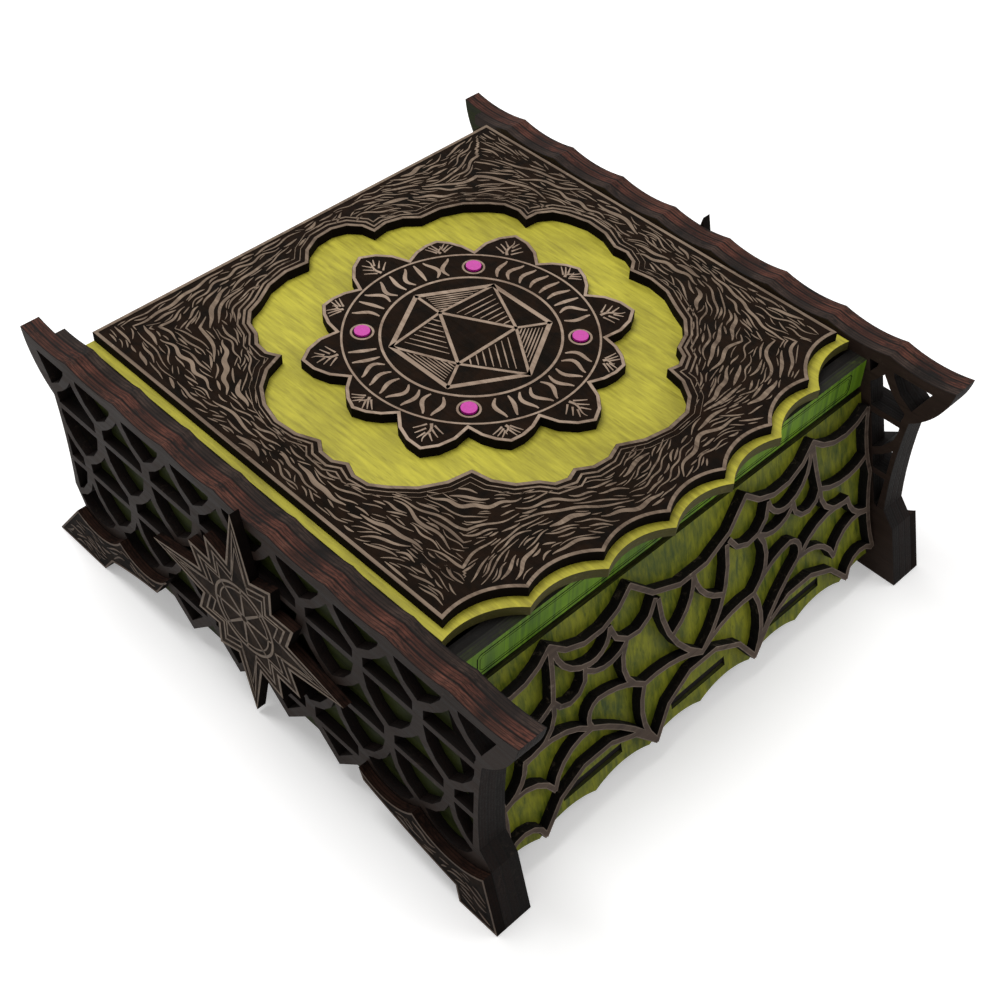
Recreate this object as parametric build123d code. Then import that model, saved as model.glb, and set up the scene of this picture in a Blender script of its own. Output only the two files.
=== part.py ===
from build123d import *
import math
import os

# Dice storage chest: a laminated plywood box with a hinged lid and one drawer.
# Frame: millimetres, +Z up, +X to the right and +Y to the back. The origin lies on
# the ground, under the middle of the chest. Every piece is one export node.

os.makedirs("parts", exist_ok=True)

# ------------------------------------------------------------------ board stock
PLY = 4.0                # thickness of every board
RUN_GAP = 0.3            # gap under a part that rests on or slides over another
DIVIDER_FIT = 0.15       # added to a half-lap slot, over the board's thickness

# ------------------------------------------------------------------ lid
LID_WIDTH = 200.0        # brown top board
LID_DEPTH = 186.4        # from its front corners to its back edge
LID_BOW = 18.5           # how far the front's middle stands out from the corners
LID_SCALLOPS = 7         # hollows along the front edge
LID_SCALLOP_SAG = 4.4    # depth of each hollow
LID_MARGIN = 3.6         # green board shown around the brown one
LID_SIDE_GAP = 1.0       # lid edge to side
LID_BOTTOM = 98.2        # underside of the lid above the ground
LID_BACK_Y = 107.0       # back edge of the lid

OPENING_RADIUS = 77.0    # mean radius of the window in the brown board
OPENING_CENTRE_Y = 12.0
OPENING_CUSPS = 24       # points that stand into the window
OPENING_SWAY = 5.5       # how much the points differ in length
OPENING_SAG = 3.4        # depth of the hollows between the points
SWAY_TURNS = (2.4, 1.1)  # radians per point of the two waves that make the points uneven
SPACING_TURN = 1.7       # the same for their spacing
MEDALLION_TIP = 63.0     # radius at its leaf tips
MEDALLION_VALLEY = 50.0  # radius between the leaves
MEDALLION_LEAVES = 12
LEAF_SHORT = 5.0         # every other leaf is this much shorter
LEAF_FULLNESS = 5.0      # larger is a straighter leaf edge
INLAY_COUNT = 4
INLAY_RADIUS = 3.0
INLAY_RING = 40.0        # radius of the circle that the inlays stand on
INLAY_TURN = 45.0        # degrees of the first inlay, from the right
INLAY_HEIGHT = 0.9       # how far they stand out, below the box height
INLAY_SIDES = 24

BATTEN_WIDTH = 6.0
BATTEN_HALF_LENGTH = 86.0
BATTEN_FRONT_GAP = 2.0   # front batten to front wall
BATTEN_BACK_Y = 79.0

# ------------------------------------------------------------------ lid pivot
PIN_RADIUS = 1.0
PIN_CLEARANCE = 0.06     # radial, in the lid board
PIN_IN_LID = 12.0        # length of pin inside the lid
PIN_END_GAP = 0.4
HINGE_SETBACK = 7.0      # pivot axis ahead of the lid's back edge
TAIL_CLEARANCE = 0.4     # swinging lid tail to back wall
LID_OPEN_DEG = 100.0

# ------------------------------------------------------------------ box
WALL_TOP = LID_BOTTOM - RUN_GAP
FRONT_WALL_Y = -87.4     # outer face of the upright front wall
HEADER_BOTTOM = 84.8     # lower edge of the strip above the drawer
FLOOR_BOTTOM = 54.8      # underside of the floor between top box and drawer
BASE_FRONT_Y = -106.3
DIVIDER_TOP = 93.4
TOP_CROSS_DIVIDERS = 3
TOP_LONG_DIVIDER_Y = 3.0

# ------------------------------------------------------------------ drawer
LEAN_DEG = 14.9          # the sloped front leans out at its foot
FACE_TOP_Y = -92.6       # upper front edge of the green sloped board
FACE_TOP_Z = 82.9
FACE_LENGTH = 80.5       # down the slope, to the points of the lower edge
FACE_SIDE_GAP = 0.6
FACE_CUSP_PITCH = 28.57  # spacing of the points along the lower edge
FACE_SAG = 3.0
DRAWER_BOTTOM_Z = 12.2   # underside of the drawer's bottom board
DRAWER_SIDE_GAP = 1.2
DRAWER_BACK_GAP = 4.0
DRAWER_TOP_GAP = 0.5
DRAWER_CROSS_DIVIDERS = 3
DRAWER_LONG_DIVIDER_Y = -8.0
DRAWER_DIVIDER_DROP = 6.0
TAB_COUNT = 3            # tabs of the bottom that show through the sloped board
TAB_WIDTH = 30.0
TAB_PITCH = 57.1
TAB_FIT = 0.1
TAB_SINK = 0.2           # tab end behind the face
BOTTOM_FRONT_Y = -105.6  # front edge of the bottom between the tabs

# web of thin strands on the sloped board: start, a point on the way, end.
# X from the middle, Y down from the board's upper edge; each has a mirror twin.
WEB_DRAWN_HALF = 102.8   # half width that the strand points are drawn for
WEB_DRAWN_LENGTH = 76.2  # height that they are drawn for
WEB_EDGE = 1.2           # outer strand's middle line to the board's side edge
WEB_FOOT = 4.3           # lowest strand points above the board's lowest points
STRAND = 2.3             # width of a strand
WEB_STEPS = 5            # straight cuts that make up one strand
WEB_RUN_ON = 0.7         # how far a strand runs into the one it ends on
WEB_MIDDLE_STRANDS = [
    ((-30.5, -2.2), (0, -18.0), (30.5, -2.2)),
    ((-28.0, -76.2), (0, -56.8), (28.0, -76.2)),
]
WEB_STRANDS = [
    ((30.5, -2.2), (50.0, -11.2), (69.3, -1.7)),
    ((69.3, -1.7), (84.5, -9.4), (102.2, -5.4)),
    ((102.8, -5.4), (101.0, -20.0), (102.8, -35.0)),
    ((102.8, -35.0), (100.6, -53.0), (102.8, -71.5)),
    ((67.8, -4.5), (61.8, -16.5), (53.5, -20.4)),
    ((53.5, -20.4), (46.5, -19.0), (42.3, -12.6)),
    ((42.3, -12.6), (33.0, -23.0), (20.0, -15.4)),
    ((35.8, -23.2), (38.8, -34.5), (30.3, -47.0)),
    ((30.3, -47.0), (33.2, -58.0), (28.3, -75.5)),
    ((30.3, -47.0), (16.0, -47.6), (0, -53.8)),
    ((18.3, -16.8), (13.8, -37.5), (0, -53.8)),
    ((0, -18.0), (4.0, -28.5), (12.6, -35.5)),
    ((57.2, -47.0), (57.6, -41.0), (52.5, -37.2)),
    ((52.5, -37.2), (42.0, -39.6), (30.3, -47.0)),
    ((58.0, -47.0), (68.0, -40.4), (88.3, -39.8)),
    ((88.3, -39.0), (76.0, -35.6), (71.9, -24.3)),
    ((71.9, -24.3), (70.2, -14.0), (69.3, -1.7)),
    ((71.9, -24.3), (85.0, -28.8), (101.6, -25.6)),
    ((71.9, -24.3), (63.5, -30.0), (55.9, -21.0)),
    ((55.4, -22.2), (45.5, -26.6), (35.8, -23.2)),
    ((88.3, -39.6), (91.5, -46.5), (101.0, -51.3)),
    ((100.9, -52.0), (86.0, -51.8), (77.9, -60.2)),
    ((57.8, -47.4), (69.5, -50.0), (77.9, -60.2)),
    ((57.2, -47.2), (43.5, -57.5), (28.3, -75.5)),
    ((28.0, -76.2), (56.8, -59.8), (85.3, -76.2)),
    ((85.3, -76.2), (91.0, -69.2), (102.2, -71.3)),
]

# ------------------------------------------------------------------ side panels
RAIL_TOP = 105.0         # points of the rails' wavy upper edge
RAIL_SAG = 1.8           # depth of its hollows
RAIL_HALF = 129.0        # half length, to the pointed ends
INNER_RAIL_SETBACK = 10.2  # the inner layer's rail ends this much short at the back
POST_HALF = 114.5        # half distance between the end posts' outer edges
POST_TOP = 81.0          # where the pointed rail end meets the post
POST_FOOT = 34.0         # where the post meets the foot
POST_WAIST = 1.2         # how far the post's edge is drawn in
NOSE_BULGE = 3.0         # bow of the edge under the rail's pointed end
BORDER = 3.2             # least wood around the outermost holes
NOSE_BORDER = 5.1        # the same along the rail's pointed ends

LATTICE_PITCH = 28.57
LATTICE_TOP = 105.6      # height of the uppermost row of nodes
LATTICE_ROW = 27.6       # height of one row
LATTICE_ROWS = 3
LATTICE_BAR = 2.8        # level bars
BOWL_HALF = 12.0         # half width of a bowl-shaped hole at its top
BOWL_DEPTH = 18.8        # its lowest point below the row of nodes
BOWL_SAG = 3.0           # bow of its sides
BELL_HALF = 11.8         # half width of the flat bell-shaped holes between bowls
BELL_TOP = 9.6           # their top below the row of nodes
BELL_EAR = 21.5          # where their sides begin to draw in
BELL_SAG = 1.0
ONION_TOP = 6.0          # same sizes for the tall holes of the lowest row
ONION_EAR = 20.4
ONION_HALF = 11.6
ONION_SAG = 2.2
ONION_FLOOR = 28.0       # their rounded bottom over the feet
CUT_STEPS = 3            # straight cuts that make up one curved side of a hole
RAIL_UNDERSIDE = 99.2    # upper limit of the holes
PENDANT_TIP = 7.0        # lowest points between the feet
PENDANT_WALL = 3.4
FOOT_ZONE = 2.2          # the feet start past this many pitches from the middle
LEAST_HOLE = 12.0        # smaller leftovers of holes, in square mm, are closed

# a foot seen from the side: offsets from the post's edge (outwards is more) and heights
FRONT_FOOT = {
    "toe": (13.3, 0.0),
    "toe_top": (5.8, 27.0),
    "hollow_outer": (-12.0, 21.2),
    "cusp": (-28.5, 28.0),
    "hollow_inner": (-42.2, 21.5),
    "arm_end": (-55.6, 26.2),
    "arm_under": (-53.5, 20.6),
    "sole_bend": (-34.0, 14.6),
    "heel_top": (-7.0, 8.5),
    "heel": (-5.1, 0.0),
}
BACK_FOOT = {
    "toe": (14.5, 0.0),
    "toe_top": (-4.1, 24.0),
    "hollow_outer": (-19.7, 20.4),
    "cusp": (-34.0, 29.0),
    "hollow_inner": (-49.5, 23.2),
    "arm_end": (-64.5, 32.0),
    "arm_under": (-55.5, 17.5),
    "sole_bend": (-38.0, 14.2),
    "heel_top": (-24.5, 10.0),
    "heel": (-17.0, 0.0),
}

# ------------------------------------------------------------------ star bosses
STAR_CENTRE_Z = 54.1
STAR_LONG = 53.0         # four long points
STAR_SHORT = 34.0        # eight short points
STAR_NECK = 25.5         # hollow beside a long point
STAR_DIP = 24.5          # hollow between two short points
STAR_SHORT_DEG = 32.0    # short point from the long point beside it
STAR_NECK_DEG = 15.0

# ------------------------------------------------------------------ worked out
LID_HALF = LID_WIDTH / 2
LID_BOARD_HALF = LID_HALF + LID_MARGIN
INNER_X = LID_BOARD_HALF + LID_SIDE_GAP      # inner face of the sides
LAYER_X = [INNER_X + i * PLY for i in range(4)]  # inner, middle, outer, foot layer
LID_FRONT_Y = LID_BACK_Y - LID_DEPTH
LID_SPLIT = LID_BOTTOM + PLY                 # between the two lid boards
HINGE_Y = LID_BACK_Y - HINGE_SETBACK
HINGE_Z = LID_BOTTOM + PLY / 2
LEAN = math.radians(LEAN_DEG)
SLOPE = Plane(origin=(0, FACE_TOP_Y, FACE_TOP_Z), x_dir=(1, 0, 0),
              z_dir=(0, -math.cos(LEAN), math.sin(LEAN)))
FACE_HALF = INNER_X - FACE_SIDE_GAP
HEADER_Y = FRONT_WALL_Y - PLY
FRONT_INNER_Y = FRONT_WALL_Y + PLY
FLOOR_TOP = FLOOR_BOTTOM + PLY
BASE_TOP = DRAWER_BOTTOM_Z - RUN_GAP
BASE_BOTTOM = BASE_TOP - PLY
DRAWER_FLOOR = DRAWER_BOTTOM_Z + PLY
DRAWER_TOP = FLOOR_BOTTOM - DRAWER_TOP_GAP
DRAWER_HALF = INNER_X - DRAWER_SIDE_GAP
DRAWER_INNER = DRAWER_HALF - PLY
DRAWER_DIVIDER_TOP = DRAWER_TOP - DRAWER_DIVIDER_DROP
HOLE_LIMIT = POST_HALF - BORDER
BIG = 400.0              # larger than the chest, for half-space cuts


def tail_reach():
    """How far ahead of the pivot the swinging lid's tail comes, over its travel."""
    reach = 0.0
    for step in range(int(LID_OPEN_DEG) + 1):
        turn = math.radians(step)
        reach = max(reach, PLY / 2 * math.sin(turn) - HINGE_SETBACK * math.cos(turn))
    return reach


BACK_OUTER_Y = HINGE_Y - tail_reach() - TAIL_CLEARANCE
BACK_INNER_Y = BACK_OUTER_Y - PLY
DRAWER_BACK_Y = BACK_INNER_Y - DRAWER_BACK_GAP


def slope_y(z, depth=0.0):
    """Y of the sloped board's front at height z, or of a face behind it."""
    return FACE_TOP_Y - (FACE_TOP_Z - z) * math.tan(LEAN) + depth / math.cos(LEAN)


# ------------------------------------------------------------------ drawing helpers
def outline(start, *steps):
    """A face from a start point and steps: a point, or a (via, end) pair for an arc."""
    edges = []
    here = start
    for step in steps:
        if isinstance(step[0], tuple):
            via, end = step
            edges.append(ThreePointArc(here, via, end))
        else:
            end = step
            edges.append(Line(here, end))
        here = end
    if math.dist(here, start) > 1e-6:
        edges.append(Line(here, start))
    return make_face(Wire(edges))


def scallop(start, end, sag):
    """An arc step from start to end, hollow by sag to the left of the way."""
    dx = end[0] - start[0]
    dy = end[1] - start[1]
    span = math.hypot(dx, dy)
    middle = ((start[0] + end[0]) / 2, (start[1] + end[1]) / 2)
    via = (middle[0] - dy / span * sag, middle[1] + dx / span * sag)
    return via, end


def arc_points(start, via, end, count):
    """Points at even steps along the arc through three points."""
    arc = ThreePointArc(start, via, end)
    return [tuple(arc @ (i / count))[:2] for i in range(count + 1)]


def turned(radius, degrees, centre=(0, 0)):
    angle = math.radians(degrees)
    return centre[0] + radius * math.cos(angle), centre[1] + radius * math.sin(angle)


def board(x0, x1, y0, y1, z0, z1):
    """A plain board between two corners."""
    middle = ((x0 + x1) / 2, (y0 + y1) / 2, (z0 + z1) / 2)
    return Pos(*middle) * Box(abs(x1 - x0), abs(y1 - y0), abs(z1 - z0))


def side_layer(face, layer, side, thickness=PLY):
    """Extrude a Y-Z face as one layer of the left (-1) or right (+1) side."""
    x = LAYER_X[layer] if side > 0 else -LAYER_X[layer] - thickness
    return extrude(Plane.YZ.offset(x) * face, amount=thickness)


def flat_layer(face, z, thickness=PLY):
    """Extrude an X-Y face upwards from height z."""
    return extrude(Pos(0, 0, z) * face, amount=thickness)


def upright_disc(radius, x0, x1, y, z):
    """A round rod along X."""
    return Plane.YZ.offset(x0) * Pos(y, z) * extrude(Circle(radius), amount=x1 - x0)


# ------------------------------------------------------------------ side panels
def post_edge(end):
    """The end post's edge and the pointed rail end, from foot to tip (end is -1 or +1)."""
    foot = (end * POST_HALF, POST_FOOT)
    waist = (end * (POST_HALF - POST_WAIST), (POST_FOOT + POST_TOP) / 2)
    top = (end * POST_HALF, POST_TOP)
    tip = (end * RAIL_HALF, RAIL_TOP)
    nose_via = scallop(top, tip, -end * NOSE_BULGE)[0]
    return foot, waist, top, nose_via, tip


def rail_points():
    """Points of the wavy rail edge, from the back tip to the front tip."""
    count = int((RAIL_HALF - LATTICE_PITCH / 4) / LATTICE_PITCH - 0.5)
    cusps = [((k + 0.5) * LATTICE_PITCH, RAIL_TOP) for k in range(count, -count - 2, -1)]
    return [(RAIL_HALF, RAIL_TOP)] + cusps + [(-RAIL_HALF, RAIL_TOP)]


def foot_point(foot, name, end):
    offset, height = foot[name]
    return end * (POST_HALF + offset), height


def foot_points(foot, end, *names):
    return [foot_point(foot, name, end) for name in names]


def upper_steps():
    """From the back foot's top over the post and the wavy rail to the front foot's top."""
    foot, waist, top, nose_via, tip = post_edge(1)
    steps = [foot, (waist, top), (nose_via, tip)]
    rail = rail_points()
    steps += [scallop(start, end, RAIL_SAG) for start, end in zip(rail, rail[1:])]
    foot, waist, top, nose_via, tip = post_edge(-1)
    return steps + [(nose_via, top), (waist, foot)]


def panel_outline():
    """Outer panel seen from its side: rail, posts, feet and the hanging points."""
    hang = int(FOOT_ZONE)
    low = LATTICE_TOP - LATTICE_ROWS * LATTICE_ROW - LATTICE_BAR / 2
    steps = []
    for k in range(-hang, hang):
        steps.append(((k + 0.5) * LATTICE_PITCH, PENDANT_TIP))
        steps.append(((k + 1) * LATTICE_PITCH, low))
    under, bend, heel_top, heel, toe, toe_top = foot_points(
        BACK_FOOT, 1, "arm_under", "sole_bend", "heel_top", "heel", "toe", "toe_top")
    steps += [under, (bend, heel_top), heel, toe, toe_top]
    steps += upper_steps()
    toe_top, toe, heel, heel_top, bend, under = foot_points(
        FRONT_FOOT, -1, "toe_top", "toe", "heel", "heel_top", "sole_bend", "arm_under")
    steps += [toe_top, toe, heel, heel_top, (bend, under)]
    return outline((-hang * LATTICE_PITCH, low), *steps)


def wall_outline():
    """Solid layers behind the lattice: the same edge, but level between the feet."""
    heel, toe, toe_top = foot_points(BACK_FOOT, 1, "heel", "toe", "toe_top")
    steps = [(heel[0], BASE_BOTTOM), heel, toe, toe_top]
    steps += upper_steps()
    toe_top, toe, heel = foot_points(FRONT_FOOT, -1, "toe_top", "toe", "heel")
    steps += [toe_top, toe, heel]
    return outline((heel[0], BASE_BOTTOM), *steps)


def drawn_side(start, end, sag):
    """Points along one curved side of a hole, bowed by sag to the left of the way."""
    via = scallop(start, end, sag)[0]
    return arc_points(start, via, end, CUT_STEPS)


def mirrored_hole(half):
    """Closed hole from the points of its left half, from the top middle or edge down."""
    twin = [(-x, z) for x, z in reversed(half) if x < 0]
    return outline(half[0], *half[1:], *twin)


def bowl_hole():
    """Hole under a level bar, closed below where two strands meet."""
    return mirrored_hole(drawn_side((-BOWL_HALF, -LATTICE_BAR / 2), (0, -BOWL_DEPTH), -BOWL_SAG))


def bell_hole():
    """Hole over a level bar, with its top where two strands meet."""
    side = drawn_side((0, -BELL_TOP), (-BELL_HALF, -BELL_EAR), BELL_SAG)
    return mirrored_hole(side + [(-BELL_HALF, LATTICE_BAR / 2 - LATTICE_ROW)])


def onion_hole(over_foot):
    """Taller hole of the lowest row, level below or rounded where it ends over a foot."""
    ear = (-ONION_HALF, -ONION_EAR)
    side = drawn_side((0, -ONION_TOP), ear, ONION_SAG)
    if over_foot:
        round_half = arc_points(ear, (0, -ONION_FLOOR), (ONION_HALF, -ONION_EAR), 2 * CUT_STEPS)
        return mirrored_hole(side + round_half[1:CUT_STEPS + 1])
    return mirrored_hole(side + [(-ONION_HALF, LATTICE_BAR / 2 - LATTICE_ROW)])


def pendant_hole():
    """Three-sided hole in one of the points that hang between the feet."""
    drop = LATTICE_TOP - LATTICE_ROWS * LATTICE_ROW - PENDANT_TIP
    half = LATTICE_PITCH / 2
    wall = PENDANT_WALL * math.hypot(half, drop) / half
    top = -LATTICE_BAR / 2
    reach = half * (1 - (wall - top) / drop)
    return outline((-reach, top), (reach, top), (0, wall - drop))


def hole_region():
    """Space that holes may use, a border away from the panel's outer edges."""
    rise = (RAIL_TOP - RAIL_UNDERSIDE) / (RAIL_TOP - POST_TOP)
    corner = RAIL_HALF - (RAIL_HALF - POST_HALF) * rise - NOSE_BORDER
    return outline(
        (-corner, RAIL_UNDERSIDE),
        (-HOLE_LIMIT, POST_TOP),
        (-HOLE_LIMIT, 0),
        (HOLE_LIMIT, 0),
        (HOLE_LIMIT, POST_TOP),
        (corner, RAIL_UNDERSIDE),
    )


def lattice_holes():
    """Every hole of the lattice, as a list of faces."""
    bowl, bell, pendant = bowl_hole(), bell_hole(), pendant_hole()
    onion_middle, onion_foot = onion_hole(False), onion_hole(True)
    region = hole_region()
    reach = 2 * int(RAIL_HALF / LATTICE_PITCH) + 1
    holes = []
    for row in range(LATTICE_ROWS):
        top = LATTICE_TOP - row * LATTICE_ROW
        for k in range(-reach, reach + 1):
            y = k * LATTICE_PITCH / 2
            if (k + row) % 2 == 0:
                shape = bowl
            elif row < LATTICE_ROWS - 1:
                shape = bell
            else:
                shape = onion_foot if abs(y) > FOOT_ZONE * LATTICE_PITCH else onion_middle
            holes += (Pos(y, top) * shape & region).faces()
    hang = int(FOOT_ZONE)
    low = LATTICE_TOP - LATTICE_ROWS * LATTICE_ROW
    for k in range(-hang, hang):
        holes += (Pos((k + 0.5) * LATTICE_PITCH, low) * pendant).faces()
    return [hole for hole in holes if hole.area > LEAST_HOLE]


def band(y0, y1, z0, z1):
    """A level rectangle of the side view."""
    return Pos((y0 + y1) / 2, (z0 + z1) / 2) * Rectangle(y1 - y0, z1 - z0)


def overhang_holes(holes):
    """The parts of the holes that lie ahead of the sloped front or behind the back wall."""
    ahead = outline(
        (slope_y(0, -PLY), 0), (slope_y(BIG, -PLY), BIG), (-2 * BIG, BIG), (-2 * BIG, 0))
    behind = band(BACK_OUTER_Y, BIG, 0, BIG)
    parts = []
    for hole in holes:
        for limit in (ahead, behind):
            parts += (Sketch() + hole & limit).faces()
    return [part for part in parts if part.area > LEAST_HOLE]


PANEL = panel_outline()
WALL = wall_outline()
HOLES = lattice_holes()
END_HOLES = overhang_holes(HOLES)


def lattice_outer(side):
    """Outer layer: the whole lattice panel with its feet."""
    return side_layer(PANEL - HOLES, 2, side)


def pivot_bore():
    return Pos(HINGE_Y, HINGE_Z) * Circle(PIN_RADIUS)


def side_wall(side):
    """Green middle layer, solid behind the lattice and pierced at both ends."""
    return side_layer(WALL - END_HOLES - pivot_bore(), 1, side)


def side_liner(side):
    """Brown inner layer; its rail is shorter at the back."""
    face = WALL - END_HOLES - pivot_bore() - band(RAIL_HALF - INNER_RAIL_SETBACK, BIG, POST_FOOT, BIG)
    return side_layer(face, 0, side)


def foot_plate(side, foot, end):
    """Outermost layer of a foot, with its two hollows along the top."""
    names = ("toe_top", "hollow_outer", "cusp", "hollow_inner", "arm_end", "arm_under")
    toe_top, outer, cusp, inner, arm_end, under = [foot_point(foot, name, end) for name in names]
    toe, heel, heel_top, bend = [
        foot_point(foot, name, end) for name in ("toe", "heel", "heel_top", "sole_bend")
    ]
    face = outline(toe, toe_top, (outer, cusp), (inner, arm_end), under, (bend, heel_top), heel)
    return side_layer(face, 3, side)


def star(side):
    """Star boss: four long points, and two short points between each pair of them."""
    points = []
    for quarter in range(4):
        turn = 90 * quarter
        points += [
            turned(STAR_LONG, turn),
            turned(STAR_NECK, turn + STAR_NECK_DEG),
            turned(STAR_SHORT, turn + STAR_SHORT_DEG),
            turned(STAR_DIP, turn + 45),
            turned(STAR_SHORT, turn + 90 - STAR_SHORT_DEG),
            turned(STAR_NECK, turn + 90 - STAR_NECK_DEG),
        ]
    face = Pos(0, STAR_CENTRE_Z) * outline(points[0], *points[1:])
    return side_layer(face, 3, side)


# ------------------------------------------------------------------ box
def header_strip():
    """Bare strip under the lid's front edge, glued to the front wall."""
    return board(-INNER_X, INNER_X, HEADER_Y, FRONT_WALL_Y, HEADER_BOTTOM, WALL_TOP)


def front_wall():
    return board(-INNER_X, INNER_X, FRONT_WALL_Y, FRONT_INNER_Y, FLOOR_BOTTOM, WALL_TOP)


def back_wall():
    return board(-INNER_X, INNER_X, BACK_INNER_Y, BACK_OUTER_Y, BASE_BOTTOM, WALL_TOP)


def compartment_floor():
    return board(-INNER_X, INNER_X, FRONT_INNER_Y, BACK_INNER_Y, FLOOR_BOTTOM, FLOOR_TOP)


def base_board():
    return board(-INNER_X, INNER_X, BASE_FRONT_Y, BACK_INNER_Y, BASE_BOTTOM, BASE_TOP)


def cross_places(count, half):
    """Middles of cross dividers that share the width 2 * half evenly."""
    step = 2 * half / (count + 1)
    return [-half + step * (i + 1) for i in range(count)]


def lap_slot(x, y, z0, z1):
    wide = PLY + DIVIDER_FIT
    return board(x - wide / 2, x + wide / 2, y - wide / 2, y + wide / 2, z0, z1)


def long_divider(half, y, z0, z1, crossings):
    """Divider along X, slotted from above where the cross dividers drop in."""
    middle = (z0 + z1) / 2
    piece = board(-half, half, y - PLY / 2, y + PLY / 2, z0, z1)
    return piece - [lap_slot(x, y, middle, z1 + PLY) for x in crossings]


def cross_dividers(places, y0, y1, long_y, z0, z1):
    """Dividers along Y, slotted from below over the long one."""
    middle = (z0 + z1) / 2
    pieces = []
    for x in places:
        piece = board(x - PLY / 2, x + PLY / 2, y0, y1, z0, z1)
        pieces.append(piece - lap_slot(x, long_y, z0 - PLY, middle))
    return Compound(children=[piece.solid() for piece in pieces])


def hinge_pin(side):
    """Pivot pin from the middle rail layer, through the inner one, into the lid board."""
    inner = LID_BOARD_HALF - PIN_IN_LID
    outer = LAYER_X[2]
    x0, x1 = (inner, outer) if side > 0 else (-outer, -inner)
    return upright_disc(PIN_RADIUS, x0, x1, HINGE_Y, HINGE_Z)


# ------------------------------------------------------------------ lid
def bow(x, half):
    """How far the lid's front stands out at x, as a shallow curve over its width."""
    return LID_BOW * (1 - (x / half) ** 2)


def lid_face(margin):
    """Lid board seen from above, with its scalloped and bowed front edge."""
    half = LID_HALF + margin
    front = LID_FRONT_Y - margin
    step = 2 * half / LID_SCALLOPS
    cusps = [(-half + i * step, front - bow(-half + i * step, half)) for i in range(LID_SCALLOPS + 1)]
    steps = [scallop(start, end, LID_SCALLOP_SAG) for start, end in zip(cusps, cusps[1:])]
    return outline(cusps[0], *steps, (half, LID_BACK_Y), (-half, LID_BACK_Y))


def hollow_points(start, end, sag):
    """Straight cuts from start to end along a side bowed by sag, without the start."""
    return drawn_side(start, end, sag)[1:]


def window_face():
    """Uneven window of the brown board: points stand in, hollows between them."""
    centre = (0, OPENING_CENTRE_Y)
    cusps = []
    for k in range(OPENING_CUSPS):
        sway = math.sin(SWAY_TURNS[0] * k) + math.sin(SWAY_TURNS[1] * k) / 2
        degrees = 360 * (k + math.sin(SPACING_TURN * k) / 4) / OPENING_CUSPS
        cusps.append(turned(OPENING_RADIUS + OPENING_SWAY * sway, degrees, centre))
    points = [cusps[0]]
    for start, end in zip(cusps, cusps[1:] + cusps[:1]):
        points += hollow_points(start, end, -OPENING_SAG)
    return outline(points[0], *points[1:-1])


def medallion_face():
    """Round leaf-edged plate in the middle of the window."""
    centre = (0, OPENING_CENTRE_Y)
    step = 360 / MEDALLION_LEAVES
    valleys = [turned(MEDALLION_VALLEY, 90 + (k - 0.5) * step, centre) for k in range(MEDALLION_LEAVES + 1)]
    points = [valleys[0]]
    for k in range(MEDALLION_LEAVES):
        radius = MEDALLION_TIP - (LEAF_SHORT if k % 2 else 0)
        tip = turned(radius, 90 + k * step, centre)
        bulge = (radius - MEDALLION_VALLEY) / LEAF_FULLNESS
        points += hollow_points(valleys[k], tip, -bulge)
        points += hollow_points(tip, valleys[k + 1], -bulge)
    return outline(points[0], *points[1:-1])


def lid_board():
    """Green lower board of the lid, bored for the pivot pins."""
    piece = flat_layer(lid_face(LID_MARGIN), LID_BOTTOM)
    reach = LID_BOARD_HALF - PIN_IN_LID - PIN_END_GAP
    for x0, x1 in ((reach, LID_BOARD_HALF + PLY), (-LID_BOARD_HALF - PLY, -reach)):
        piece -= upright_disc(PIN_RADIUS + PIN_CLEARANCE, x0, x1, HINGE_Y, HINGE_Z)
    return piece


def lid_frame():
    """Brown upper board, an open frame around the window."""
    return flat_layer(lid_face(0) - window_face(), LID_SPLIT)


def inlay_places():
    step = 360 / INLAY_COUNT
    return [turned(INLAY_RING, INLAY_TURN + k * step, (0, OPENING_CENTRE_Y)) for k in range(INLAY_COUNT)]


def lid_medallion():
    return flat_layer(medallion_face(), LID_SPLIT)


def lid_inlays():
    """Round coloured inlays that stand on the medallion."""
    disc = RegularPolygon(INLAY_RADIUS, INLAY_SIDES)
    discs = [flat_layer(Pos(x, y) * disc, LID_SPLIT + PLY, INLAY_HEIGHT) for x, y in inlay_places()]
    return Compound(children=[disc.solid() for disc in discs])


def lid_batten(y):
    """Stiffening strip under the lid."""
    half = BATTEN_WIDTH / 2
    return board(-BATTEN_HALF_LENGTH, BATTEN_HALF_LENGTH, y - half, y + half, LID_BOTTOM - PLY, LID_BOTTOM)


# ------------------------------------------------------------------ drawer
def tab_places():
    """Middles of the tabs, spread evenly about the middle of the board."""
    return [(i - (TAB_COUNT - 1) / 2) * TAB_PITCH for i in range(TAB_COUNT)]


def drawer_face():
    """Sloped front board with a scalloped lower edge and slots for the bottom's tabs."""
    reach = int(FACE_HALF / FACE_CUSP_PITCH)
    low = -FACE_LENGTH
    cusps = [(k * FACE_CUSP_PITCH, low) for k in range(-reach, reach + 1)]
    ends = [(-FACE_HALF, low + FACE_SAG)] + cusps + [(FACE_HALF, low + FACE_SAG)]
    steps = []
    for start, end in zip(ends, ends[1:]):
        span = math.dist(start, end) / FACE_CUSP_PITCH
        steps.append(scallop(start, end, FACE_SAG * span ** 2))
    face = outline(ends[0], *steps, (FACE_HALF, 0), (-FACE_HALF, 0))
    piece = extrude(SLOPE * face, amount=-PLY)
    half = TAB_WIDTH / 2 + TAB_FIT
    for x in tab_places():
        piece -= board(x - half, x + half, -BIG, BOTTOM_FRONT_Y + PLY,
                       DRAWER_BOTTOM_Z - TAB_FIT, DRAWER_FLOOR + TAB_FIT)
    return piece


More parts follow.
